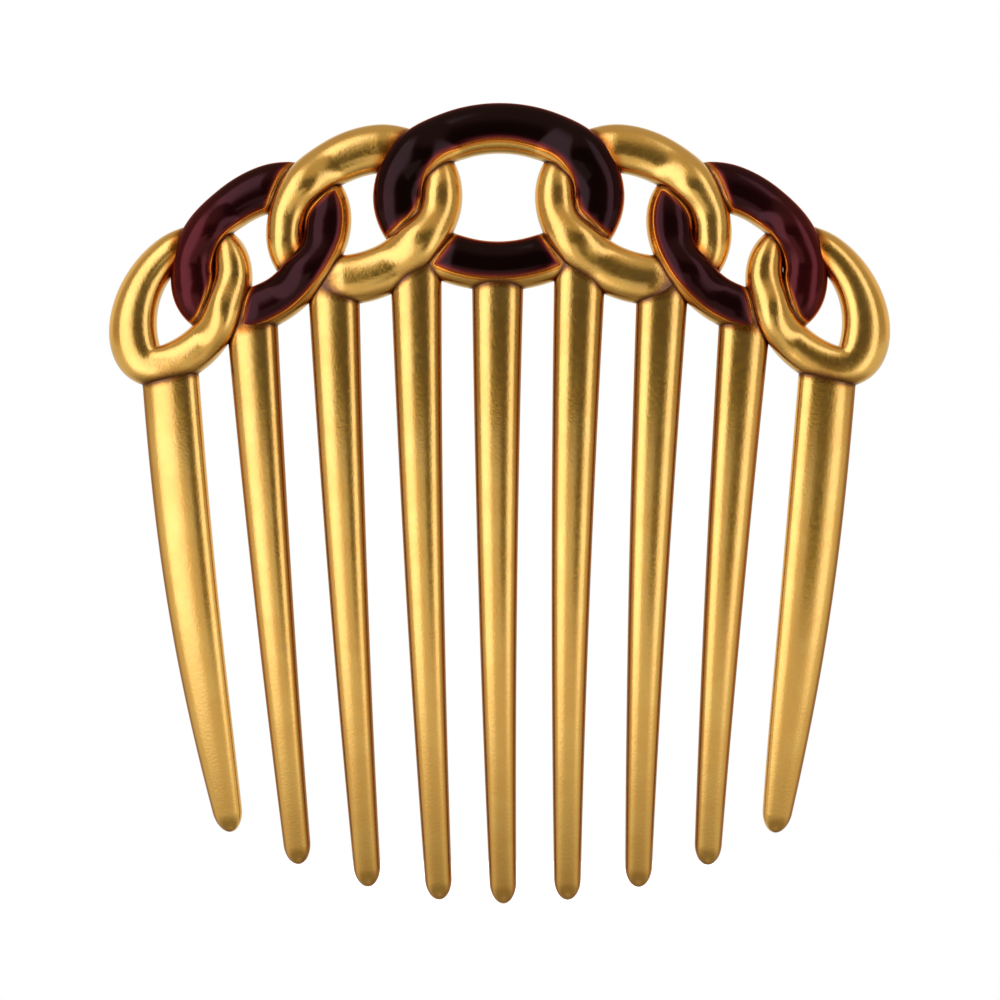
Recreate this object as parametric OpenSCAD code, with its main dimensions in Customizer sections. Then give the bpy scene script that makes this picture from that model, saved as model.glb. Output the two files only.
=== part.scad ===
// Decorative hair comb: a heading of seven interlocked oval links on nine curved teeth.
// Three of the links carry enamel in cells sunk into their fronts. Millimetres, +Z up, the front faces -Y.
// Links and teeth are laid out in the front view as [x, z], then bent onto the comb's curved face.

/* [Curved face] */
// Radius of the curve from end to end, seen from above
plan_radius = 250; // [80:5:500]
// Radius of the curve from heading to tooth tips, seen from the side
side_radius = 120; // [100:5:300]
// Height at which the side curve stands upright
crown_z = -14; // [-30:1:0]

/* [Links] */
// Front-to-back depth of a link
link_depth = 4.2; // [3.4:0.1:5]
// Squareness of a link's cross-section, and of a tooth's front, where 2 is an ellipse
link_fullness = 2.2; // [2:0.1:3]
// How far a link rises where it passes over, and sinks where it passes under
weave = 0.9; // [0.4:0.1:1.2]

/* [Centre link] */
// Half width and half height of the outer oval, which rests on z = 0
centre_oval = [14.5, 10.8]; // [8:0.1:16]
// Half width and half height of the opening
centre_hole = [8.3, 5.12]; // [3:0.01:10]

/* [Inner plain links] */
// Place of the outer oval's centre
inner_at = [15.5, 8.8]; // [5:0.1:20]
// Outer oval's half length and half breadth
inner_oval = [12, 9.6]; // [8:0.1:14]
// Angle by which the outer oval slopes down towards the comb's end
inner_lean = 33.5; // [20:0.5:50]
// Opening's half length and half breadth
inner_hole = [7.1, 4.1]; // [3:0.1:9]
// Angle by which the opening slopes down
inner_hole_lean = 25.5; // [20:0.5:50]
// Opening's centre from the outer oval's centre
inner_hole_shift = [0.2, 0.1]; // [-2:0.1:2]

/* [Enamelled side links] */
// Place of the outer oval's centre
side_at = [27.4, 4.8]; // [3:0.1:30]
// Outer oval's half length and half breadth
side_oval = [11.9, 8.4]; // [7:0.1:14]
// Angle by which the outer oval slopes down
side_lean = 43; // [30:0.5:60]
// Opening's half length and half breadth
side_hole = [5.9, 3.4]; // [3:0.1:8]
// Angle by which the opening slopes down
side_hole_lean = 37; // [30:0.5:60]
// Opening's centre from the outer oval's centre
side_hole_shift = [0.2, -0.1]; // [-2:0.1:2]

/* [End links] */
// Place of the outer oval's centre
end_at = [36.7, -1.6]; // [-3:0.1:40]
// Outer oval's half length and half breadth
end_oval = [10.3, 7.2]; // [6:0.1:12]
// Angle by which the outer oval slopes down
end_lean = 56; // [40:0.5:70]
// Opening's half length and half breadth
end_hole = [6.4, 2.7]; // [2:0.1:8]
// How pointed the opening's two ends are, where 0 is an oval
end_hole_point = 0.8; // [0:0.1:1]
// Angle by which the opening slopes down
end_hole_lean = 62; // [40:0.5:70]
// Opening's centre from the outer oval's centre
end_hole_shift = [-0.6, 1]; // [-2:0.1:2]

/* [Enamel] */
// Depth of the cell that holds the enamel
enamel_depth = 0.6; // [0.4:0.1:0.9]
// Edges of the centre link's upper cell, as shares of the link's half width from its middle, hole side first
centre_upper_edges = [-0.62, 0.95]; // [-0.95:0.01:0.95]
// Hole-side edge at the two ends of the centre link's upper cell, which widens towards them
centre_upper_end_edge = -0.95; // [-0.95:0.01:0.95]
// Edges of the centre link's lower cell
centre_lower_edges = [-0.92, 0.58]; // [-0.95:0.01:0.95]
// Edges of a side link's upper cell
side_upper_edges = [-0.86, 0.95]; // [-0.95:0.01:0.95]
// Edges of a side link's lower cell
side_lower_edges = [-0.95, 0.7]; // [-0.95:0.01:0.95]
// Width of the metal lip left between a cell's end and the link that crosses it
lip = 0.45; // [0.25:0.05:1]

/* [Teeth] */
// Distance between tooth centres at the roots
root_pitch = 9.5; // [8:0.1:11]
// Half width of a tooth at the root
root_half_width = 3; // [2:0.1:3.4]
// Half width of a tooth at the tip
tip_half_width = 1.5; // [1:0.1:2]
// Half width of an end tooth at the root
end_root_half_width = 3.3; // [2:0.1:3.4]
// How late an end tooth tapers, where 1 is a straight taper
end_taper = 2.5; // [1:0.1:3]
// Outward bow of an end tooth
end_bow = 0.7; // [0:0.1:1.5]
// Distance of the four tooth tips on one side from the middle
tip_x = [7.4, 15.6, 23.6, 31.4]; // [6:0.1:34]
// Height of the middle tooth's tip
tip_z = -70.5; // [-80:0.5:-50]
// Radius of the arc on which all the tips lie
tip_arc = 64; // [50:1:200]
// Depth of a tooth in front of the comb's middle surface, at root and tip
tooth_front = [1.6, 1]; // [0.8:0.1:2]
// Depth of a tooth behind that surface, at root and tip
tooth_back = [1.2, 0.8]; // [0.6:0.1:2]
// Squareness of a tooth's back, which is flatter than its front
back_fullness = 3.2; // [2:0.1:4]

/* [Hidden] */

LINK_STEP = 8;        // degrees between a link's sections
SECTION_SIDES = 12;   // sides of a link's section
TOOTH_SIDES = 12;     // sides of a tooth's section
TOOTH_RINGS = 10;     // sections along a tooth's shaft
TIP_RINGS = 4;        // sections round a tooth's tip
TIP_LENGTH = 2.4;     // length of a tooth's rounded tip
CELL_SIDES = 5;       // strips across a cell's floor
CELL_SPREAD = 0.75;   // how late a cell's hole-side edge moves between its middle and its ends
ABOVE = 1.5;          // how far a cell's cutter stands above the metal
FAR = 60;             // beyond the comb in every direction
MIDDLE_TOOTH = 5;
// Height of each tooth's buried top, from the middle tooth outwards
TOOTH_TOP = [2.8, 4.6, 1.6, -2, -8];
GOLD = [0.83, 0.64, 0.25];
OXBLOOD = [0.22, 0.05, 0.06];

// A link is [centre, outer oval, lean, opening's centre, opening, opening's lean, opening's point]
CENTRE = [[0, centre_oval[1]], centre_oval, 0, [0, centre_oval[1]], centre_hole, 0, 0];
INNER = [inner_at, inner_oval, inner_lean, inner_at + inner_hole_shift, inner_hole, inner_hole_lean, 0];
SIDE = [side_at, side_oval, side_lean, side_at + side_hole_shift, side_hole, side_hole_lean, 0];
END = [end_at, end_oval, end_lean, end_at + end_hole_shift, end_hole, end_hole_lean, end_hole_point];

function turned(p, a) = [p[0] * cos(a) - p[1] * sin(a), p[0] * sin(a) + p[1] * cos(a)];
function oval_point(at, oval, lean, point, t) =
    at + turned([oval[0] * cos(t), oval[1] * sin(t) * pow(abs(sin(t)), point)], -lean);
function outer(k, t) = oval_point(k[0], k[1], k[2], 0, t);
function inner(k, t) = oval_point(k[3], k[4], k[5], k[6], t);
function middle(k, t) = (outer(k, t) + inner(k, t)) / 2;
function flipped(p) = [-p[0], p[1]];

// Angle on link a at which its middle line crosses link b's, above (up = 1) or below (up = -1)
function crossing(a, b, up) =
    let (near = [for (t = [0:3:357])
            let (p = middle(a, t))
            if (up * cross(b[0] - a[0], p - a[0]) > 0)
                [min([for (s = [0:3:357]) norm(p - middle(b, s))]), t]],
        gap = min([for (n = near) n[0]]))
    [for (n = near) if (n[0] == gap) n[1]][0];

// A pair's two crossings, as [upper point, lower point]
function crossings(a, b) = [for (up = [1, -1]) middle(a, crossing(a, b, up))];
CENTRE_INNER = crossings(CENTRE, INNER);
INNER_SIDE = crossings(INNER, SIDE);
SIDE_END = crossings(SIDE, END);

// The weave is [point, reach, 1 where the link passes over or -1 where it passes under]
function pair_weave(pair, upper) =
    [for (i = [0, 1]) [pair[i], norm(pair[0] - pair[1]) / 2, i == 0 ? upper : -upper]];
RIGHT_OF_CENTRE = pair_weave(CENTRE_INNER, 1);
CENTRE_WEAVE = concat(RIGHT_OF_CENTRE, [for (w = RIGHT_OF_CENTRE) [flipped(w[0]), w[1], w[2]]]);
INNER_WEAVE = concat(pair_weave(CENTRE_INNER, -1), pair_weave(INNER_SIDE, 1));
SIDE_WEAVE = concat(pair_weave(INNER_SIDE, -1), pair_weave(SIDE_END, 1));
END_WEAVE = pair_weave(SIDE_END, -1);

function swell(r) = r < 1 ? (1 + cos(180 * r)) / 2 : 0;
function sum(v, i = 0) = i < len(v) ? v[i] + sum(v, i + 1) : 0;
function lift(crossed, p) = weave * sum([for (w = crossed) w[2] * swell(norm(p - w[0]) / w[1])]);

// The curved face: how far back it lies at p, which way it faces, and the point q in front of it
function bow(p) = plan_radius - sqrt(plan_radius ^ 2 - p[0] ^ 2)
    + side_radius - sqrt(side_radius ^ 2 - (p[1] - crown_z) ^ 2);
function facing(p) =
    let (across = p[0] / sqrt(plan_radius ^ 2 - p[0] ^ 2),
        down = (p[1] - crown_z) / sqrt(side_radius ^ 2 - (p[1] - crown_z) ^ 2))
    [across, -1, down] / norm([across, -1, down]);
function on_face(p, q) = [p[0], bow(p), p[1]] + q * facing(p);

function power(x, e) = sign(x) * pow(abs(x), e);
function round_section(sides, front, back) =
    [for (i = [0:sides - 1]) let (a = 360 * i / sides, e = 2 / (a < 180 ? front : back))
        [power(cos(a), e), power(sin(a), e)]];

// Skin over a list of closed loops, joined end to end if ring is true and capped if not
module skin(loops, ring = false) {
    n = len(loops[0]);
    m = len(loops);
    sides = [for (i = [0:m - (ring ? 1 : 2)], j = [0:n - 1])
        each [[i * n + j, i * n + (j + 1) % n, ((i + 1) % m) * n + j],
            [i * n + (j + 1) % n, ((i + 1) % m) * n + (j + 1) % n, ((i + 1) % m) * n + j]]];
    caps = ring ? [] : [[for (j = [n - 1:-1:0]) j], [for (j = [0:n - 1]) (m - 1) * n + j]];
    polyhedron([for (loop = loops) each loop], concat(sides, caps), convexity = 8);
}

// The whole tube of a link before it is notched, or a fatter one if grow is above 0
module tube(k, crossed, grow = 0) {
    skin([for (t = [0:LINK_STEP:360 - LINK_STEP])
        let (o = outer(k, t), i = inner(k, t), c = (o + i) / 2, d = (o - i) / norm(o - i),
            w = norm(o - i) / 2 + grow, q = lift(crossed, c))
        [for (s = round_section(SECTION_SIDES, link_fullness, link_fullness))
            on_face(c + d * w * s[0], q + (link_depth / 2 + grow) * s[1])]], ring = true);
}

// All of space on q's side of the point midway between p and q
module side_of(p, q) {
    d = q - p;
    translate([(p[0] + q[0]) / 2, 0, (p[1] + q[1]) / 2])
        rotate([0, -atan2(d[1], d[0]), 0])
            translate([0, -FAR, -FAR]) cube([2 * FAR, 2 * FAR, 2 * FAR]);
}

// A neighbouring tube, kept only where it passes over at the upper or the lower crossing
module over_at(pair, upper, k, crossed, grow = 0) {
    intersection() {
        tube(k, crossed, grow);
        if (upper) side_of(pair[1], pair[0]);
        else side_of(pair[0], pair[1]);
    }
}

// Cutter for an enamel cell from angle t1 to t2, with its edges at shares of the half width,
// and its hole-side edge drawn towards end_edge at its two ends
module cell(k, crossed, t1, t2, edges, end_edge) {
    steps = ceil((t2 - t1) / LINK_STEP);
    skin([for (n = [0:steps])
        let (t = t1 + (t2 - t1) * n / steps, o = outer(k, t), i = inner(k, t), c = (o + i) / 2,
            d = (o - i) / 2, q = lift(crossed, c),
            hole_side = edges[0] + (end_edge - edges[0]) * pow(1 - sin(180 * n / steps), CELL_SPREAD),
            shares = [for (j = [0:CELL_SIDES]) hole_side + (edges[1] - hole_side) * j / CELL_SIDES])
        concat(
            [for (s = shares)
                let (top = pow(1 - pow(abs(s), link_fullness), 1 / link_fullness))
                on_face(c + d * s, q + link_depth / 2 * top - enamel_depth)],
            [for (j = [CELL_SIDES:-1:0]) on_face(c + d * shares[j], q + link_depth / 2 + ABOVE)])]);
}

module on_side(left) {
    if (left) mirror([1, 0, 0]) children();
    else children();
}

// Keeps what it holds as one mesh
module one_mesh() {
    resize([0, 0, 0]) children();
}

// A link with the neighbours that pass over it cut out of it
module notched(k, crossed) {
    difference() {
        tube(k, crossed);
        children();
    }
}

// What passes over each link: its neighbours at the crossings where it goes under
module over_centre(grow = 0) {
    for (left = [false, true])
        on_side(left) over_at(CENTRE_INNER, false, INNER, INNER_WEAVE, grow);
}
module over_inner() {
    over_at(CENTRE_INNER, true, CENTRE, CENTRE_WEAVE);
    over_at(INNER_SIDE, false, SIDE, SIDE_WEAVE);
}
module over_side(grow = 0) {
    over_at(INNER_SIDE, true, INNER, INNER_WEAVE, grow);
    over_at(SIDE_END, false, END, END_WEAVE, grow);
}
module over_end() {
    over_at(SIDE_END, true, SIDE, SIDE_WEAVE);
}

// Angles at which the enamelled links dive under their neighbours
CENTRE_DIVE = crossing(CENTRE, INNER, -1);
SIDE_DIVE = crossing(SIDE, END, -1);
SIDE_RISE = crossing(SIDE, INNER, -1);

// Enamel cells: each runs between two of those dives and stops a lip short of them
module centre_cell(upper) {
    difference() {
        if (upper) cell(CENTRE, CENTRE_WEAVE, CENTRE_DIVE - 360, 540 - CENTRE_DIVE, centre_upper_edges,
            centre_upper_end_edge);
        else cell(CENTRE, CENTRE_WEAVE, 540 - CENTRE_DIVE, CENTRE_DIVE, centre_lower_edges,
            centre_lower_edges[0]);
        over_centre(lip);
    }
}
module side_cell(upper) {
    difference() {
        if (upper) cell(SIDE, SIDE_WEAVE, SIDE_DIVE - 360, SIDE_RISE, side_upper_edges, side_upper_edges[0]);
        else cell(SIDE, SIDE_WEAVE, SIDE_RISE, SIDE_DIVE, side_lower_edges, side_lower_edges[0]);
        over_side(lip);
    }
}

module centre_link() {
    color(GOLD) one_mesh() notched(CENTRE, CENTRE_WEAVE) {
        over_centre();
        centre_cell(true);
        centre_cell(false);
    }
}
module inner_link(left) {
    color(GOLD) on_side(left) one_mesh() notched(INNER, INNER_WEAVE) over_inner();
}
module side_link(left) {
    color(GOLD) on_side(left) one_mesh() notched(SIDE, SIDE_WEAVE) {
        over_side();
        side_cell(true);
        side_cell(false);
    }
}
module end_link(left) {
    color(GOLD) on_side(left) one_mesh() notched(END, END_WEAVE) over_end();
}

module centre_enamel(upper) {
    color(OXBLOOD) one_mesh() intersection() {
        tube(CENTRE, CENTRE_WEAVE);
        centre_cell(upper);
    }
}
module side_enamel(left, upper) {
    color(OXBLOOD) on_side(left) one_mesh() intersection() {
        tube(SIDE, SIDE_WEAVE);
        side_cell(upper);
    }
}

// A tooth k places from the middle: its ends, its half width, and one section of its skin
function tip_height(x) = tip_z + tip_arc - sqrt(tip_arc ^ 2 - x ^ 2);
function tooth_ends(k) =
    let (x = k == 0 ? 0 : tip_x[k - 1])
    [[root_pitch * k, TOOTH_TOP[k]], [x, tip_height(x)]];
function tooth_half_width(k, u) = k == len(TOOTH_TOP) - 1
    ? end_root_half_width + (tip_half_width - end_root_half_width) * pow(u, end_taper)
    : root_half_width + (tip_half_width - root_half_width) * u;
function tooth_section(k, u, shrink) =
    let (ends = tooth_ends(k), d = ends[1] - ends[0], outward = [-d[1], d[0]] / norm(d),
        bend = k == len(TOOTH_TOP) - 1 ? end_bow * sin(180 * u) : 0,
        p = ends[0] + d * u + outward * bend, w = tooth_half_width(k, u) * shrink,
        front = (tooth_front[0] + (tooth_front[1] - tooth_front[0]) * u) * shrink,
        back = (tooth_back[0] + (tooth_back[1] - tooth_back[0]) * u) * shrink)
    [for (s = round_section(TOOTH_SIDES, link_fullness, back_fullness))
        on_face(p - outward * w * s[0], s[1] * (s[1] > 0 ? front : back))];

module tooth_blank(k) {
    ends = tooth_ends(k);
    shaft = 1 - TIP_LENGTH / norm(ends[1] - ends[0]);
    skin(concat(
        [for (i = [0:TOOTH_RINGS - 1]) tooth_section(k, shaft * i / TOOTH_RINGS, 1)],
        [for (i = [0:TIP_RINGS]) let (a = 80 * i / TIP_RINGS)
            tooth_section(k, shaft + (1 - shaft) * sin(a) / sin(80), cos(a))]));
}

// Each tooth's top is shaped to the underside of the links that it is joined to
module tooth(n) {
    k = abs(n - MIDDLE_TOOTH);
    color(GOLD) on_side(n < MIDDLE_TOOTH) one_mesh() difference() {
        tooth_blank(k);
        if (k < 2) tube(CENTRE, CENTRE_WEAVE);
        if (k == 1 || k == 2) tube(INNER, INNER_WEAVE);
        if (k == 2 || k == 3) tube(SIDE, SIDE_WEAVE);
        if (k > 2) tube(END, END_WEAVE);
    }
}

centre_link();
inner_link(true);  // left_inner_link
inner_link(false);  // right_inner_link
side_link(true);  // left_side_link
side_link(false);  // right_side_link
end_link(true);  // left_end_link
end_link(false);  // right_end_link
centre_enamel(true);  // centre_upper_enamel
centre_enamel(false);  // centre_lower_enamel
side_enamel(true, true);  // left_upper_enamel
side_enamel(true, false);  // left_lower_enamel
side_enamel(false, true);  // right_upper_enamel
side_enamel(false, false);  // right_lower_enamel
for (n = [1:2 * MIDDLE_TOOTH - 1])
    tooth(n);
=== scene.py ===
"""Looks of the decorative hair comb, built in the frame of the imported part.
The comb is worked out in millimetres, laid out in its front view as [x, z] and bent onto its curved face,
then made in metres: +Z up, the front faces -Y."""
import math

import bpy
import numpy as np
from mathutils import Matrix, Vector
from mathutils.bvhtree import BVHTree
from mathutils.kdtree import KDTree


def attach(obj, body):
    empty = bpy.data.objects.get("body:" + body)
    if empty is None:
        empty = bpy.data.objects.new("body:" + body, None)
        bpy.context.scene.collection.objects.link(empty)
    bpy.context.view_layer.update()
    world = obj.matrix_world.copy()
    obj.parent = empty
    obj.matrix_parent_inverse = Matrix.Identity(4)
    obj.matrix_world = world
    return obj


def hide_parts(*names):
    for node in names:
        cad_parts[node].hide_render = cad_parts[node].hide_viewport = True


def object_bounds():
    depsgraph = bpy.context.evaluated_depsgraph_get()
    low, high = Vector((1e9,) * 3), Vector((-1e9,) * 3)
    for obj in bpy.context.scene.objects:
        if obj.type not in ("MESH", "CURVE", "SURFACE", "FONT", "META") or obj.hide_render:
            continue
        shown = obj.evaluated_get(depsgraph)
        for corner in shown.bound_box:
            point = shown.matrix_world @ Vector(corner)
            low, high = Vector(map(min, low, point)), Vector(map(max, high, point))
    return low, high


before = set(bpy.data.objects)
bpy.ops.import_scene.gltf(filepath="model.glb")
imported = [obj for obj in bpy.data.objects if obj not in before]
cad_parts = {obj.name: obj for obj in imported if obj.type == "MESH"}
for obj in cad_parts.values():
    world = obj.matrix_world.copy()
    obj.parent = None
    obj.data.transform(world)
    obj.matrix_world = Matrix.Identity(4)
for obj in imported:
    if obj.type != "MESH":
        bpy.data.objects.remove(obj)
cad_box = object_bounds()

MM = 0.001

# ---------------------------------------------------------------- dimensions, as in the part, in millimetres
PLAN_RADIUS = 250       # curve of the comb from end to end
SIDE_RADIUS = 120       # curve of the comb from heading to tips
CROWN_Z = -14           # height at which the side curve stands upright

LINK_DEPTH = 4.2
LINK_FULLNESS = 2.2     # squareness of a section: 2 is an ellipse
BACK_FULLNESS = 3.2
WEAVE = 0.9             # rise of a link where it passes over, and its sink where it passes under
LIP = 0.45              # metal left between a cell's end and the link that crosses it

ROOT_PITCH = 9.5
ROOT_HALF_WIDTH = 3
TIP_HALF_WIDTH = 1.5
END_ROOT_HALF_WIDTH = 3.3
END_TAPER = 2.5         # how late an end tooth narrows: 1 would be evenly
END_BOW = 0.7           # how far an end tooth bows outwards
TIP_X = [0, 7.4, 15.6, 23.6, 31.4]
TIP_Z = -70.5
TIP_ARC = 64            # radius of the arc that the tips lie on
TIP_LENGTH = 2.4
TIP_TURN = 89           # degrees that a tip is rounded through, short of 90 so that its last ring stays open
TOOTH_TOP = [2.8, 4.6, 1.6, -2, -8]     # height of each tooth's top inside its links, from the middle out
TOOTH_FRONT = (1.6, 1)  # how far a tooth stands in front of the curved face at its top and its tip
TOOTH_BACK = (1.2, 0.8)
FLANK = (0.95, 0.7)     # how squarely a tooth faces the front where the painted shade on its flank starts and is full
MIDDLE_TOOTH = 5        # its number, counted from the left

# Edges of the enamel cells, as shares of a link's half width from its middle: on the hole's side in the
# middle of the cell and at its ends, and on the far side
CELL_EDGES = {
    "centre_upper": (-0.62, -0.95, 0.95),
    "centre_lower": (-0.92, -0.92, 0.58),
    "side_upper": (-0.86, -0.86, 0.95),
    "side_lower": (-0.95, -0.95, 0.7),
}
CELL_SPREAD = 0.75      # how late a cell's hole-side edge moves between its middle and its ends

# ---------------------------------------------------------------- resolution of the visible meshes
LINK_RINGS = 540
LINK_SIDES = 144
PLAIN_RINGS = 360
PLAIN_SIDES = 96
TOOTH_RINGS = 220
TOOTH_SIDES = 64
CELL_RINGS = 320
CELL_STRIPS = 48
SMOOTHING = 5           # strips over which the end of a cell is evened out
HALVINGS = 8            # how often the search for the end of a cell halves its step

# ---------------------------------------------------------------- fine relief, in millimetres
CELL_FLOOR = 0.5        # depth of the metal under the enamel
CELL_EDGE = 0.05        # how far inside the enamel's edge the metal starts to sink
CELL_WALL = 0.25        # width over which it sinks
DOME = 0.07             # rise of the enamel above the metal
DOME_EDGE = 0.03        # how far the enamel's edge lies below the metal
DOME_ROUND = 0.45       # width over which the enamel's edge is rounded
CORNER = 0.4            # radius of an enamel patch's corners
RIM = 0.03              # height of the bead of metal round an enamel patch
RIM_WIDTH = 0.13
STAIN_WIDTH = 0.35      # how far the enamel's warm tone stains the metal round it
CREASE_REACH = 1.1      # how far a crease's patina and painted shade spread
GLOW_REACH = 1.3        # how far the enamel's painted warm glow spreads over its neighbours
DEEPENING = 1.1         # how fast the enamel's colour deepens from its edge
# The deepest that the colour gets, as pairs of how far out from the comb's middle and the depth there
DEEPEST_CENTRE = ((8, 1.2), (15, 0.75))
DEEPEST_SIDE = ((28, 0.8), (38, 0.44))


def unit(v):
    """Vectors of the same directions as v, one long."""
    return v / np.linalg.norm(v, axis=-1, keepdims=True)


def power(x, e):
    """x to the power e, with the sign of x."""
    return np.sign(x) * np.abs(x) ** e


def smooth(x):
    """A soft step from 0 to 1 while x does the same."""
    x = np.clip(x, 0, 1)
    return x * x * (3 - 2 * x)


# ---------------------------------------------------------------- the curved face
def bow(x, z):
    """How far back the curved face lies at a point of the front view."""
    return (PLAN_RADIUS - np.sqrt(PLAN_RADIUS ** 2 - x ** 2)
            + SIDE_RADIUS - np.sqrt(SIDE_RADIUS ** 2 - (z - CROWN_Z) ** 2))


def facing(x, z):
    """Which way the curved face looks at a point of the front view."""
    across = x / np.sqrt(PLAN_RADIUS ** 2 - x ** 2)
    down = (z - CROWN_Z) / np.sqrt(SIDE_RADIUS ** 2 - (z - CROWN_Z) ** 2)
    return unit(np.stack([across, -np.ones_like(across), down], -1))


def on_face(p, q):
    """Points q in front of the curved face, over the points p of the front view."""
    x, z = p[..., 0], p[..., 1]
    return np.stack([x, bow(x, z), z], -1) + q[..., None] * facing(x, z)


# ---------------------------------------------------------------- links
class Link:
    """A link between an outer oval and an opening, each leaning down towards the comb's end."""

    def __init__(self, at, oval, lean, hole_shift, hole, hole_lean, hole_point=0):
        self.at = np.array(at, float)
        self.oval = oval
        self.lean = lean
        self.hole_at = self.at + hole_shift
        self.hole = hole
        self.hole_lean = hole_lean
        self.hole_point = hole_point
        self.crossed = []

    @staticmethod
    def oval_point(at, oval, lean, point, t):
        a = math.radians(-lean)
        x, z = oval[0] * np.cos(t), oval[1] * np.sin(t) * np.abs(np.sin(t)) ** point
        return at + np.stack([x * math.cos(a) - z * math.sin(a), x * math.sin(a) + z * math.cos(a)], -1)

    def outer(self, t):
        return self.oval_point(self.at, self.oval, self.lean, 0, t)

    def inner(self, t):
        return self.oval_point(self.hole_at, self.hole, self.hole_lean, self.hole_point, t)

    def middle(self, t):
        return (self.outer(t) + self.inner(t)) / 2

    def lift(self, p):
        """Rise of the link's middle where it passes over a neighbour, or its sink where it passes under."""
        total = np.zeros(p.shape[:-1])
        for point, reach, way in self.crossed:
            r = np.clip(np.linalg.norm(p - point, axis=-1) / reach, 0, 1)
            total += way * (1 + np.cos(math.pi * r)) / 2
        return WEAVE * total

    def surface(self, t, a):
        """The link's skin at the angle t round the link and the angle a round its section."""
        outer, inner = self.outer(t), self.inner(t)
        centre = (outer + inner) / 2
        across = (outer - inner) / 2
        share = power(np.cos(a), 2 / LINK_FULLNESS)
        depth = LINK_DEPTH / 2 * power(np.sin(a), 2 / LINK_FULLNESS)
        return on_face(centre + across * share[..., None], self.lift(centre) + depth)


# Each link's centre, oval and lean, then its opening's shift, oval, lean and how pointed it is
CENTRE = Link((0, 10.8), (14.5, 10.8), 0, (0, 0), (8.3, 5.12), 0)
INNER = Link((15.5, 8.8), (12, 9.6), 33.5, (0.2, 0.1), (7.1, 4.1), 25.5)
SIDE = Link((27.4, 4.8), (11.9, 8.4), 43, (0.2, -0.1), (5.9, 3.4), 37)
END = Link((36.7, -1.6), (10.3, 7.2), 56, (-0.6, 1), (6.4, 2.7), 62, 0.8)
NEIGHBOURS = [(CENTRE, INNER), (INNER, SIDE), (SIDE, END)]
CROSSING_STEP = 3       # degrees


def crossing(a, b, up):
    """Angle on link a, in degrees, at which it meets link b, above (up = 1) or below (up = -1)."""
    degrees = np.arange(0, 360, CROSSING_STEP)
    mine = a.middle(np.radians(degrees))
    theirs = b.middle(np.radians(degrees))
    way, off = b.at - a.at, mine - a.at
    gap = np.linalg.norm(mine[:, None] - theirs[None], axis=-1).min(1)
    gap[up * (way[0] * off[:, 1] - way[1] * off[:, 0]) <= 0] = np.inf
    return float(degrees[np.argmin(gap)])


def crossings(near, far):
    """A pair's two crossings in the front view: the upper one, then the lower."""
    return [near.middle(np.radians(crossing(near, far, up))) for up in (1, -1)]


def weave_links():
    """At a pair's upper crossing the link nearer the middle passes over, and at the lower it passes under."""
    for near, far in NEIGHBOURS:
        points = crossings(near, far)
        reach = np.linalg.norm(points[0] - points[1]) / 2
        near.crossed += [(points[0], reach, 1), (points[1], reach, -1)]
        far.crossed += [(points[0], reach, -1), (points[1], reach, 1)]
    CENTRE.crossed += [(point * (-1, 1), reach, way) for point, reach, way in CENTRE.crossed]


def grid_normals(points, wrap):
    """Unit normals of a grid of points, closed on itself along its second axis and, if wrap, its first."""
    along = np.roll(points, -1, 0) - np.roll(points, 1, 0)
    if not wrap:
        along[0], along[-1] = points[1] - points[0], points[-1] - points[-2]
    across = np.roll(points, -1, 1) - np.roll(points, 1, 1)
    return unit(np.cross(across, along))


# ---------------------------------------------------------------- meshes
def ring_faces(rows, sides, wrap):
    i = np.arange(rows if wrap else rows - 1)[:, None]
    j = np.arange(sides)[None]
    k, m = (i + 1) % rows, (j + 1) % sides
    return np.stack([i * sides + j, i * sides + m, k * sides + m, k * sides + j], -1).reshape(-1, 4).tolist()


class Skin:
    """A closed skin in millimetres, with the values that its material reads at each point."""

    def __init__(self, points, faces, **values):
        self.points = points.reshape(-1, 3)
        self.faces = faces
        self.values = {name: v.reshape(-1) for name, v in values.items()}

    def mirrored(self):
        flipped = [f[::-1] for f in self.faces]
        return Skin(self.points * (-1, 1, 1), flipped, **self.values)

    def tree(self):
        return BVHTree.FromPolygons(self.points.tolist(), self.faces)

    def piece(self, name, material):
        mesh = bpy.data.meshes.new(name)
        mesh.from_pydata((self.points * MM).tolist(), [], self.faces)
        for key, value in self.values.items():
            mesh.attributes.new(key, "FLOAT", "POINT").data.foreach_set("value", value.astype(np.float32))
        mesh.polygons.foreach_set("use_smooth", [True] * len(mesh.polygons))
        mesh.materials.append(material)
        mesh.validate()
        piece = bpy.data.objects.new(name, mesh)
        bpy.context.scene.collection.objects.link(piece)
        return piece


def turn_out(faces, points, normals):
    """Faces turned so that they face the way the normals do."""
    a, b, c = (points.reshape(-1, 3)[[f[i] for f in faces]] for i in range(3))
    out = (np.cross(b - a, c - a) * normals.reshape(-1, 3)[[f[0] for f in faces]]).sum(-1).sum() > 0
    return faces if out else [f[::-1] for f in faces]


def signed_distance(tree, point):
    """Distance from a closed skin, below zero inside it."""
    place, normal, _, gap = tree.find_nearest(Vector(point))
    return gap if (Vector(point) - place).dot(normal) > 0 else -gap


def tube_grid(link, rings, sides):
    """Angles round a link and round its section, and its skin's points and outward normals there."""
    t = np.linspace(0, 2 * math.pi, rings, endpoint=False)[:, None]
    a = np.linspace(0, 2 * math.pi, sides, endpoint=False)[None]
    t, a = np.broadcast_arrays(t, a)
    points = link.surface(t, a)
    normals = grid_normals(points, True)
    centres = on_face(link.middle(t), link.lift(link.middle(t)))
    if ((points - centres) * normals).sum() < 0:
        normals = -normals
    return t, a, points, normals


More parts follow.
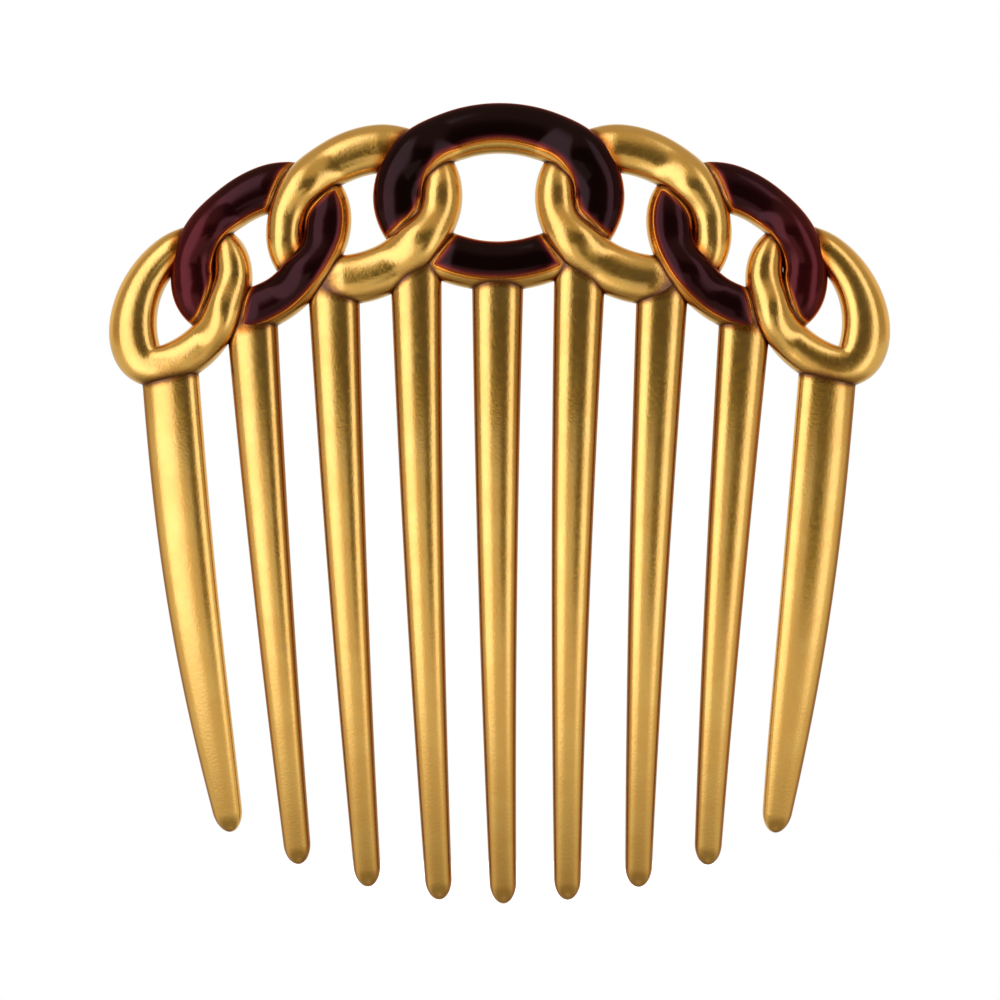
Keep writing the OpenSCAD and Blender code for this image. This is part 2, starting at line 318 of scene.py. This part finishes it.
def link_skin(link, rings, sides, patches=()):
    """A link's metal, sunk under its patches of enamel and raised in a bead round them."""
    t, a, points, normals = tube_grid(link, rings, sides)
    rim = np.zeros(t.shape)
    for patch in patches:
        sunk, bead, stain = patch.relief(t, a, points)
        points = points + normals * (RIM * bead - CELL_FLOOR * sunk)[..., None]
        rim = np.maximum(rim, stain)
    faces = turn_out(ring_faces(rings, sides, True), points, normals)
    return Skin(points, faces, rim=rim)


# ---------------------------------------------------------------- enamel
class Over:
    """A neighbour where it passes over a link: near that crossing, and not near the pair's other one."""

    def __init__(self, skin, there, other, mirror=1):
        self.tree = (skin if mirror == 1 else skin.mirrored()).tree()
        self.middle = (there + other) / 2 * (mirror, 1)
        self.way = (there - other) * (mirror, 1)

    def distance(self, point):
        if (point[[0, 2]] - self.middle) @ self.way < 0:
            return math.inf
        return signed_distance(self.tree, point)


class Patch:
    """A patch of enamel on the front of a link, between two places where the link dives under a neighbour."""

    def __init__(self, link, edges, start, stop, over, deepest):
        self.link = link
        self.edges = edges
        self.start, self.stop = start, stop
        self.deepest = deepest
        self.w = np.linspace(0, 1, CELL_STRIPS + 1)
        self.ends = [self.trim(end, over) for end in (start, stop)]
        u = np.linspace(0, 1, CELL_RINGS + 1)[:, None]
        t = self.ends[0] + (self.ends[1] - self.ends[0]) * u
        self.points = self.surface(t, np.broadcast_to(self.w, t.shape))
        along = np.gradient(self.points, axis=0)
        across = np.gradient(self.points, axis=1)
        self.normals = unit(np.cross(across, along))
        if (self.normals * facing(self.points[..., 0], self.points[..., 2])).sum() < 0:
            self.normals = -self.normals
        outline = [self.points[0], self.points[-1], self.points[:, 0], self.points[:, -1]]
        self.outline = np.concatenate(outline)
        self.edge_tree = KDTree(len(self.outline))
        for i, p in enumerate(self.outline):
            self.edge_tree.insert(p, i)
        self.edge_tree.balance()

    def limits(self, t):
        """Angles round the section at which the patch's two long edges lie, t degrees round the link."""
        middle, end, far = self.edges
        v = np.clip((t - self.start) / (self.stop - self.start), 0, 1)
        near = middle + (end - middle) * (1 - np.sin(math.pi * v)) ** CELL_SPREAD
        return (np.arccos(power(share, LINK_FULLNESS / 2)) for share in (near, np.asarray(far)))

    def surface(self, t, w):
        """The link's skin t degrees round it, the share w of the way across the patch."""
        near, far = self.limits(t)
        return self.link.surface(np.radians(t), near + (far - near) * w)

    def trim(self, end, over):
        """Angles, one per strip, at which the patch stops a lip short of whatever passes over it."""
        middle = (self.start + self.stop) / 2
        step = math.copysign(1.0, end - middle)
        found = []
        for w in self.w:
            def clear(t):
                point = self.surface(np.array(t), w)
                return min(neighbour.distance(point) for neighbour in over) > LIP
            t = middle
            while clear(t) and (end - t) * step > 0:
                t += step
            low, high = t - step, t
            for _ in range(HALVINGS):
                centre = (low + high) / 2
                low, high = (centre, high) if clear(centre) else (low, centre)
            found.append(low)
        found = np.array(found)
        margin = SMOOTHING // 2
        found[margin:-margin] = np.convolve(found, np.ones(SMOOTHING) / SMOOTHING, "valid")
        return found - step * self.corner(found)

    def corner(self, t):
        """How far the patch's end draws back near its sides, in degrees, so that its corners are round."""
        points = self.surface(t, self.w)
        run = np.concatenate([[0], np.cumsum(np.linalg.norm(np.diff(points, axis=0), axis=-1))])
        inset = np.clip(CORNER - np.minimum(run, run[-1] - run), 0, CORNER)
        back = CORNER - np.sqrt(CORNER ** 2 - inset ** 2)
        ahead = self.surface(t + 1, self.w)
        return back / np.linalg.norm(ahead - points, axis=-1)

    def edge_distance(self, points):
        """How far points lie from the patch's outline."""
        flat = points.reshape(-1, 3)
        return np.array([self.edge_tree.find(p)[2] for p in flat]).reshape(points.shape[:-1])

    def relief(self, t, a, points):
        """How sunk a link's points are, how raised on the bead and how stained, each from 0 to 1."""
        inside = np.zeros(t.shape, bool)
        for turn in (-360, 0, 360):
            degrees = np.degrees(t) + turn
            near, far = self.limits(degrees)
            w = (a - near) / (far - near)
            starts, stops = (np.interp(w, self.w, end) for end in self.ends)
            inside |= (w > 0) & (w < 1) & (degrees > starts) & (degrees < stops)
        gap = self.edge_distance(points)
        sunk = np.where(inside, smooth((gap - CELL_EDGE) / CELL_WALL), 0)
        bead = np.where(inside, 0, np.exp(-((gap - RIM_WIDTH) / RIM_WIDTH) ** 2))
        return sunk, bead, np.exp(-(gap / STAIN_WIDTH) ** 2)

    def skin(self):
        """The enamel: a domed top with rounded edges over a flat underside."""
        gap = self.edge_distance(self.points)
        rise = np.sqrt(1 - (1 - np.clip(gap / DOME_ROUND, 0, 1)) ** 2)
        top = self.points + self.normals * (rise * (DOME + DOME_EDGE) - DOME_EDGE)[..., None]
        floor = self.points - self.normals * CELL_FLOOR
        rows, columns = gap.shape
        loops = np.concatenate([top, floor[:, ::-1]], 1)
        faces = ring_faces(rows, 2 * columns, False)
        caps = [[row * 2 * columns + j, row * 2 * columns + j + 1,
                 (row + 1) * 2 * columns - j - 2, (row + 1) * 2 * columns - j - 1]
                for row in (0, rows - 1) for j in range(columns - 1)]
        turned = [f[::-1] if i < columns - 1 else f for i, f in enumerate(caps)]
        outward = np.concatenate([self.normals, -self.normals[:, ::-1]], 1)
        deepest = np.interp(np.abs(self.points[..., 0]), *zip(*self.deepest))
        depth = np.minimum(gap * DEEPENING, deepest)
        thickness = np.concatenate([depth, depth[:, ::-1]], 1)
        return Skin(loops, turn_out(faces + turned, loops, outward), thickness=thickness)


# ---------------------------------------------------------------- teeth
def tooth_skin(k):
    """The tooth k places from the middle, from its top inside the links to its rounded tip."""
    last = len(TOOTH_TOP) - 1
    tip = np.array([TIP_X[k], TIP_Z + TIP_ARC - math.sqrt(TIP_ARC ** 2 - TIP_X[k] ** 2)])
    top = np.array([ROOT_PITCH * k, TOOTH_TOP[k]])
    line = tip - top
    outward = unit(np.array([-line[1], line[0]]))
    shaft = 1 - TIP_LENGTH / np.linalg.norm(line)
    turn = np.linspace(0, math.radians(TIP_TURN), TOOTH_SIDES // 2)
    u = np.concatenate([np.linspace(0, shaft, TOOTH_RINGS)[:-1], shaft + (1 - shaft) * np.sin(turn)])[:, None]
    shrink = np.concatenate([np.ones(TOOTH_RINGS - 1), np.cos(turn)])[:, None]
    if k == last:
        half = END_ROOT_HALF_WIDTH + (TIP_HALF_WIDTH - END_ROOT_HALF_WIDTH) * u ** END_TAPER
        bend = END_BOW * np.sin(math.pi * u)
    else:
        half = ROOT_HALF_WIDTH + (TIP_HALF_WIDTH - ROOT_HALF_WIDTH) * u
        bend = 0 * u
    front, back = (d[0] + (d[1] - d[0]) * u for d in (TOOTH_FRONT, TOOTH_BACK))
    a = np.linspace(0, 2 * math.pi, TOOTH_SIDES, endpoint=False)[None]
    e = np.where(a < math.pi, 2 / LINK_FULLNESS, 2 / BACK_FULLNESS)
    share, depth = power(np.cos(a), e), power(np.sin(a), e)
    centre = top + line * u + outward * bend
    flat = centre[:, None] - outward * (half * shrink * share)[..., None]
    points = on_face(flat, depth * np.where(depth > 0, front, back) * shrink)
    normals = grid_normals(points, False)
    middle = points.mean(1, keepdims=True)
    if ((points - middle) * normals).sum() < 0:
        normals = -normals
    rows = len(points)
    faces = ring_faces(rows, TOOTH_SIDES, False)
    faces += [list(range(TOOTH_SIDES))[::-1], [(rows - 1) * TOOTH_SIDES + j for j in range(TOOTH_SIDES)]]
    # Painted shade on the flanks that face a neighbouring tooth, growing as they turn from the front; none on
    # an end tooth's outer flank
    show = (normals * facing(points[..., 0], points[..., 2])).sum(-1)
    outer = (k == last) & ((normals[..., [0, 2]] * outward).sum(-1) < 0)
    between = np.where(outer, 0, smooth((FLANK[0] - np.abs(show)) / (FLANK[0] - FLANK[1])))
    return Skin(points, turn_out(faces, points, normals), between=between, rim=np.zeros(show.shape))


# ---------------------------------------------------------------- creases
def mark_near(skins, trees, key, reach, own=None):
    """Marks each point with how close it lies to another piece, from 0 at reach to 1 where they meet."""
    for name, skin in skins.items():
        close = np.zeros(len(skin.points))
        for other, (tree, low, high) in trees.items():
            if other == name or other in (own or {}).get(name, ()):
                continue
            for i in np.flatnonzero(((skin.points > low - reach) & (skin.points < high + reach)).all(1)):
                found = tree.find_nearest(Vector(skin.points[i]), reach)
                if found[3] is not None:
                    close[i] = max(close[i], 1 - found[3] / reach)
        skin.values[key] = close


def trees_of(skins):
    """A search tree and the two corners of its box for each skin."""
    return {name: (skin.tree(), skin.points.min(0), skin.points.max(0)) for name, skin in skins.items()}


# ---------------------------------------------------------------- materials
class Nodes:
    """Short ways to build the node tree of a material or a world."""

    def __init__(self, owner):
        owner.use_nodes = True
        self.owner = owner
        self.tree = owner.node_tree
        self.place = self.add("ShaderNodeTexCoord").outputs["Object"]

    @classmethod
    def material(cls, name):
        nodes = cls(bpy.data.materials.new(name))
        nodes.shader = nodes.tree.nodes["Principled BSDF"]
        return nodes

    def add(self, kind, **settings):
        node = self.tree.nodes.new(kind)
        for key, value in settings.items():
            setattr(node, key, value)
        return node

    def link(self, source, target):
        self.tree.links.new(source, target)

    def value(self, name):
        return self.add("ShaderNodeAttribute", attribute_name=name).outputs["Fac"]

    def noise(self, size_mm, detail=2.0, roughness=0.5):
        node = self.add("ShaderNodeTexNoise")
        node.inputs["Scale"].default_value = 1 / (size_mm * MM)
        node.inputs["Detail"].default_value = detail
        node.inputs["Roughness"].default_value = roughness
        self.link(self.place, node.inputs["Vector"])
        return node.outputs["Fac"]

    def math(self, operation, a, b=None):
        node = self.add("ShaderNodeMath", operation=operation)
        for socket, source in zip(node.inputs, (a, b)):
            if source is None:
                continue
            if isinstance(source, (int, float)):
                socket.default_value = source
            else:
                self.link(source, socket)
        return node.outputs[0]

    def remap(self, source, low, high, to_low=0.0, to_high=1.0):
        node = self.add("ShaderNodeMapRange", interpolation_type="SMOOTHSTEP")
        self.link(source, node.inputs["Value"])
        for key, value in (("From Min", low), ("From Max", high), ("To Min", to_low), ("To Max", to_high)):
            node.inputs[key].default_value = value
        return node.outputs["Result"]

    def ramp(self, source, stops):
        node = self.add("ShaderNodeValToRGB")
        self.link(source, node.inputs["Fac"])
        elements = node.color_ramp.elements
        while len(elements) < len(stops):
            elements.new(0.5)
        for element, (place, colour) in zip(elements, stops):
            element.position = place
            element.color = (*colour, 1)
        return node.outputs["Color"]

    def blend(self, amount, a, b):
        node = self.add("ShaderNodeMix", data_type="RGBA")
        self.link(amount, node.inputs["Factor"])
        for socket, source in ((node.inputs["A"], a), (node.inputs["B"], b)):
            if isinstance(source, tuple):
                socket.default_value = (*source, 1)
            else:
                self.link(source, socket)
        return node.outputs["Result"]

    def bump(self, height, distance_mm, under=None):
        node = self.add("ShaderNodeBump")
        node.inputs["Distance"].default_value = distance_mm * MM
        self.link(height, node.inputs["Height"])
        if under is not None:
            self.link(under, node.inputs["Normal"])
        return node.outputs["Normal"]


GOLD = (0.88, 0.47, 0.062)
GOLD_WORN = (0.91, 0.515, 0.08)     # where the plate is polished a little paler
SHADE_AND_PATINA = (0.38, 0.135, 0.010)      # the brown of painted shade on the teeth's flanks between them, and of patina with painted shade round the creases
CREASE = (0.12, 0.030, 0.004)       # the bottom of a crease: patina darkened further by painted shade
STAIN_AND_GLOW = (0.72, 0.225, 0.014)         # the enamel's real stain round its own edge, and the painted glow that a neighbour's enamel casts on the metal beside it

# Sizes of the gold's unevenness and heights of its relief, in millimetres
CLOUD_SIZE = 5
CLOUD_HEIGHT = 0.02
SPECKLE_SIZE = 0.45
GRAIN_SIZE = 0.3
GRAIN_HEIGHT = 0.02

# The same for the enamel's
DRIFT_SIZE = 2.5
RIPPLE_SIZE = 5
RIPPLE_HEIGHT = 0.03

# The enamel's colour from its edge to its deepest
ENAMEL_TINTS = [
    (0.00, (0.70, 0.24, 0.030)),
    (0.12, (0.40, 0.100, 0.012)),
    (0.26, (0.20, 0.024, 0.009)),
    (0.44, (0.095, 0.007, 0.009)),
    (0.70, (0.032, 0.003, 0.005)),
    (1.00, (0.010, 0.0015, 0.002)),
]


def gold_material():
    """Satin old gold under lacquer: a fine cast grain, a slightly uneven polish, brown patina with painted
    shade in the creases, painted shade on the teeth's flanks and painted glow beside a neighbour's enamel.
    """
    n = Nodes.material("satin_antique_gold")
    s = n.shader.inputs
    cloud = n.noise(CLOUD_SIZE, 2)
    speckle = n.noise(SPECKLE_SIZE, 3)
    metal = n.blend(n.remap(cloud, 0.4, 0.62), GOLD, GOLD_WORN)
    # Painted glow from a neighbour's enamel, with the real stain round a link's own enamel: both turn the
    # metal orange
    glow = n.math("MAXIMUM", n.value("glow"), n.value("rim"))
    stain = n.remap(glow, 0.1, 0.8)
    metal = n.blend(stain, metal, STAIN_AND_GLOW)
    # Patina with painted shade round the creases, and painted shade on the flanks between the teeth
    near = n.math("ADD", n.value("crease"), n.math("MULTIPLY", speckle, 0.2))
    crease = n.remap(near, 0.75, 1.1)
    shade_and_patina = n.math("MAXIMUM", n.value("between"), n.math("MULTIPLY", n.remap(near, 0.5, 0.95), 0.75))
    metal = n.blend(shade_and_patina, metal, SHADE_AND_PATINA)
    # Patina and painted shade, darkest at the bottom of each crease
    metal = n.blend(n.math("MULTIPLY", crease, 0.9), metal, CREASE)
    n.link(metal, s["Base Color"])
    s["Metallic"].default_value = 1.0
    dull = n.math("MULTIPLY", n.math("MAXIMUM", shade_and_patina, stain), 0.8)
    n.link(n.math("SUBTRACT", 1.0, dull), s["Coat Weight"])
    s["Coat IOR"].default_value = 1.7
    s["Coat Roughness"].default_value = 0.15
    rough = n.math("ADD", n.remap(speckle, 0.3, 0.7, 0.16, 0.24), n.math("MULTIPLY", crease, 0.2))
    n.link(rough, s["Roughness"])
    grain = n.bump(n.noise(GRAIN_SIZE, 4, 0.6), GRAIN_HEIGHT)
    n.link(n.bump(cloud, CLOUD_HEIGHT, grain), s["Normal"])
    return n.owner


def enamel_material():
    """Dark oxblood enamel over the metal: amber where it thins at its edges, almost black in the middle."""
    n = Nodes.material("oxblood_enamel")
    s = n.shader.inputs
    drift = n.noise(DRIFT_SIZE, 2)
    depth = n.math("ADD", n.value("thickness"), n.math("MULTIPLY", n.math("SUBTRACT", drift, 0.5), 0.2))
    n.link(n.ramp(depth, ENAMEL_TINTS), s["Base Color"])
    s["Metallic"].default_value = 0.9
    s["Roughness"].default_value = 0.22
    s["Specular Tint"].default_value = (0.8, 0.3, 0.14, 1)
    s["Coat Weight"].default_value = 0.2
    s["Coat Roughness"].default_value = 0.05
    n.link(n.bump(n.noise(RIPPLE_SIZE, 1), RIPPLE_HEIGHT), s["Coat Normal"])
    return n.owner


def floor_material():
    """Plain matt off-white."""
    n = Nodes.material("pale_floor")
    n.shader.inputs["Base Color"].default_value = (0.82, 0.82, 0.82, 1)
    n.shader.inputs["Roughness"].default_value = 0.9
    n.shader.inputs["Specular IOR Level"].default_value = 0.1
    return n.owner


# ---------------------------------------------------------------- the comb
def plain_tubes():
    """The skins of the two plain links on the right."""
    links = {"inner": INNER, "end": END}
    return {name: link_skin(link, PLAIN_RINGS, PLAIN_SIDES) for name, link in links.items()}


def enamel_patches(tubes):
    """The patches on the centre link and the right side link, each between two dives of its link."""
    over_centre = [Over(tubes["inner"], *crossings(CENTRE, INNER)[::-1], mirror) for mirror in (1, -1)]
    over_side = [
        Over(tubes["inner"], *crossings(INNER, SIDE)),
        Over(tubes["end"], *crossings(SIDE, END)[::-1]),
    ]
    dive = crossing(CENTRE, INNER, -1)
    side_dive, side_rise = crossing(SIDE, END, -1), crossing(SIDE, INNER, -1)
    # From and to, in degrees round the link; the centre link also dives at 540 - dive, the mirror of dive
    runs = {
        "centre_upper": (dive - 360, 540 - dive),
        "centre_lower": (540 - dive, dive),
        "side_upper": (side_dive - 360, side_rise),
        "side_lower": (side_rise, side_dive),
    }
    links = {"centre": (CENTRE, over_centre, DEEPEST_CENTRE), "side": (SIDE, over_side, DEEPEST_SIDE)}
    patches = {}
    for name, (start, stop) in runs.items():
        link, over, deepest = links[name.split("_")[0]]
        patches[name] = Patch(link, CELL_EDGES[name], start, stop, over, deepest)
    return patches


def metal_skins(tubes, patches):
    """Every link and tooth by the name of its node."""
    links = dict(tubes)
    for name, link in (("centre", CENTRE), ("side", SIDE)):
        cells = [patches[f"{name}_upper"], patches[f"{name}_lower"]]
        links[name] = link_skin(link, LINK_RINGS, LINK_SIDES, cells)
    metal = {"centre_link": links["centre"]}
    for place in ("inner", "side", "end"):
        metal[f"right_{place}_link"] = links[place]
        metal[f"left_{place}_link"] = links[place].mirrored()
    for k in range(MIDDLE_TOOTH):
        skin = tooth_skin(k)
        metal[f"tooth_{MIDDLE_TOOTH + k}"] = skin
        metal[f"tooth_{MIDDLE_TOOTH - k}"] = skin.mirrored() if k else skin
    return metal


def enamel_skins(patches):
    """Every patch of enamel by the name of its node."""
    enamel = {f"centre_{where}_enamel": patches[f"centre_{where}"].skin() for where in ("upper", "lower")}
    for where in ("upper", "lower"):
        skin = patches[f"side_{where}"].skin()
        enamel[f"right_{where}_enamel"] = skin
        enamel[f"left_{where}_enamel"] = skin.mirrored()
    return enamel


def mark_metal(metal, enamel):
    """Tells the metal where its creases are, for their patina and painted shade, and where a neighbour's
    enamel is near, for its painted glow.
    """
    mark_near(metal, trees_of(metal), "crease", CREASE_REACH)
    own = {"centre_link": [name for name in enamel if name.startswith("centre")]}
    for side in ("left", "right"):
        own[f"{side}_side_link"] = [name for name in enamel if name.startswith(side)]
    mark_near(metal, trees_of(enamel), "glow", GLOW_REACH, own)


def build_comb():
    weave_links()
    tubes = plain_tubes()
    patches = enamel_patches(tubes)
    metal = metal_skins(tubes, patches)
    enamel = enamel_skins(patches)
    mark_metal(metal, enamel)
    gold, oxblood = gold_material(), enamel_material()
    for skins, material, slot in ((metal, gold, "gold"), (enamel, oxblood, "enamel")):
        for node, skin in skins.items():
            piece = skin.piece(f"{node}_finish", material)
            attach(piece, "root")
            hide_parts(node)


# ---------------------------------------------------------------- stage
# Lengths here are in metres
CAMERA_AZIMUTH = 3.2      # degrees
CAMERA_ELEVATION = -0.47  # degrees
CAMERA_DISTANCE = 2.5
CAMERA_ROLL = -0.06       # degrees
CAMERA_RISE = 0.0005      # of its aim above the comb's middle
WIDTH_SHARE = 0.781       # of the picture's width that the comb fills
SENSOR = 36


def span(box):
    """The middle and the size of a box."""
    low, high = Vector(box[0]), Vector(box[1])
    return (low + high) / 2, high - low


def towards(azimuth, elevation):
    """The way out from the comb: azimuth 0 is straight in front of it and 90 to its right."""
    az, el = math.radians(azimuth), math.radians(elevation)
    return Vector((math.sin(az) * math.cos(el), -math.cos(az) * math.cos(el), math.sin(el)))


def build_camera():
    """A view nearly square on to the front, from far enough back to flatten the perspective."""
    middle, size = span(cad_box)
    data = bpy.data.cameras.new("camera")
    data.sensor_width = SENSOR
    data.lens = SENSOR * WIDTH_SHARE * CAMERA_DISTANCE / size.x
    camera = bpy.data.objects.new("camera", data)
    camera.location = (middle + Vector((0, 0, CAMERA_RISE))
                       + CAMERA_DISTANCE * towards(CAMERA_AZIMUTH, CAMERA_ELEVATION))
    camera.rotation_mode = "XYZ"
    camera.rotation_euler = (math.radians(90 - CAMERA_ELEVATION), math.radians(CAMERA_ROLL),
                             math.radians(CAMERA_AZIMUTH))
    bpy.context.scene.collection.objects.link(camera)
    bpy.context.scene.camera = camera


FLOOR_LIGHT_HEIGHT = 1.2
FLOOR_LIGHT_SIZE = 1.6
FLOOR_LIGHT_POWER = 34      # watts


def build_floor_light():
    """A wide soft light overhead that whitens the floor and leaves no reflection in the comb."""
    middle, _ = span(cad_box)
    data = bpy.data.lights.new("floor_light", "AREA")
    data.size = FLOOR_LIGHT_SIZE
    data.energy = FLOOR_LIGHT_POWER
    light = bpy.data.objects.new("floor_light", data)
    light.location = middle + Vector((0, 0, FLOOR_LIGHT_HEIGHT))
    light.visible_glossy = False
    bpy.context.scene.collection.objects.link(light)


def window(n, angle, low, high, soft):
    """1 where the angle is between low and high, falling to 0 over soft degrees."""
    rise = n.remap(angle, low - soft, low + soft)
    fall = n.remap(angle, high - soft, high + soft, 1, 0)
    return n.math("MULTIPLY", rise, fall)


WARM = (1, 0.88, 0.68)      # tint of the room's own light
COOL = (1, 1.02, 1.18)      # tint of the soft boxes
EVEN = (1, 0.97, 0.88)      # tint of the pale table in front


def lit(radiance, tint):
    """A tinted light of that strength."""
    return tuple(radiance * part for part in tint)


def build_world():
    """A pale studio: white behind the comb, soft boxes on either side and a dark room round the camera."""
    world = bpy.data.worlds.new("studio")
    bpy.context.scene.world = world
    n = Nodes(world)
    n.tree.nodes.clear()
    axes = n.add("ShaderNodeSeparateXYZ")
    n.link(n.add("ShaderNodeTexCoord").outputs["Generated"], axes.inputs[0])
    x, y, z = axes.outputs
    azimuth = n.math("DEGREES", n.math("ARCTAN2", x, n.math("MULTIPLY", y, -1)))
    elevation = n.math("DEGREES", n.math("ARCSINE", z))
    off = n.math("ABSOLUTE", azimuth)
    box_height = window(n, elevation, -31, 60, 13)
    notch_height = window(n, elevation, -22, 0, 5)
    # Beyond every angle, so that a window running to one of these has no edge there
    behind, top, bottom = 200, 91, -91
    # Each zone is laid over those before it: its light, and where it is
    zones = [
        (lit(0.42, WARM), window(n, off, 60, behind, 8)),
        (lit(0.80, WARM), window(n, off, 96, behind, 10)),
        (lit(0.48, WARM), window(n, elevation, 38, top, 12)),
        (lit(0.68, EVEN), window(n, elevation, bottom, -2, 3)),
        (lit(0.26, WARM), window(n, elevation, bottom, -48, 16)),
        (lit(0.12, WARM), n.math("MULTIPLY", window(n, azimuth, 5, 24, 4), notch_height)),
        (lit(1.75, COOL), n.math("MULTIPLY", window(n, azimuth, -54, -18, 5), box_height)),
        (lit(1.45, COOL), n.math("MULTIPLY", window(n, azimuth, 30, 52, 5), box_height)),
    ]
    light = lit(0.10, WARM)
    for colour, where in zones:
        light = n.blend(where, light, colour)
    output = n.add("ShaderNodeOutputWorld")
    choice = n.add("ShaderNodeMixShader")
    seen, room = n.add("ShaderNodeBackground"), n.add("ShaderNodeBackground")
    seen.inputs["Color"].default_value = (1, 1, 1, 1)
    n.link(light, room.inputs["Color"])
    n.link(n.add("ShaderNodeLightPath").outputs["Is Camera Ray"], choice.inputs[0])
    n.link(room.outputs[0], choice.inputs[1])
    n.link(seen.outputs[0], choice.inputs[2])
    n.link(choice.outputs[0], output.inputs["Surface"])


FLOOR_RADIUS = 0.6
FLOOR_SIDES = 96


def build_floor():
    """A round white floor under the teeth, which no reflection shows."""
    middle, size = span(cad_box)
    level = middle.z - size.z / 2
    turn = np.linspace(0, 2 * math.pi, FLOOR_SIDES, endpoint=False)
    points = [(FLOOR_RADIUS * math.cos(a), FLOOR_RADIUS * math.sin(a), level) for a in turn]
    mesh = bpy.data.meshes.new("floor")
    mesh.from_pydata(points, [], [list(range(FLOOR_SIDES))])
    mesh.materials.append(floor_material())
    floor = bpy.data.objects.new("floor", mesh)
    floor.visible_glossy = False
    bpy.context.scene.collection.objects.link(floor)


build_comb()
build_camera()
build_floor_light()
build_world()
build_floor()
bpy.context.scene.view_settings.view_transform = "Standard"
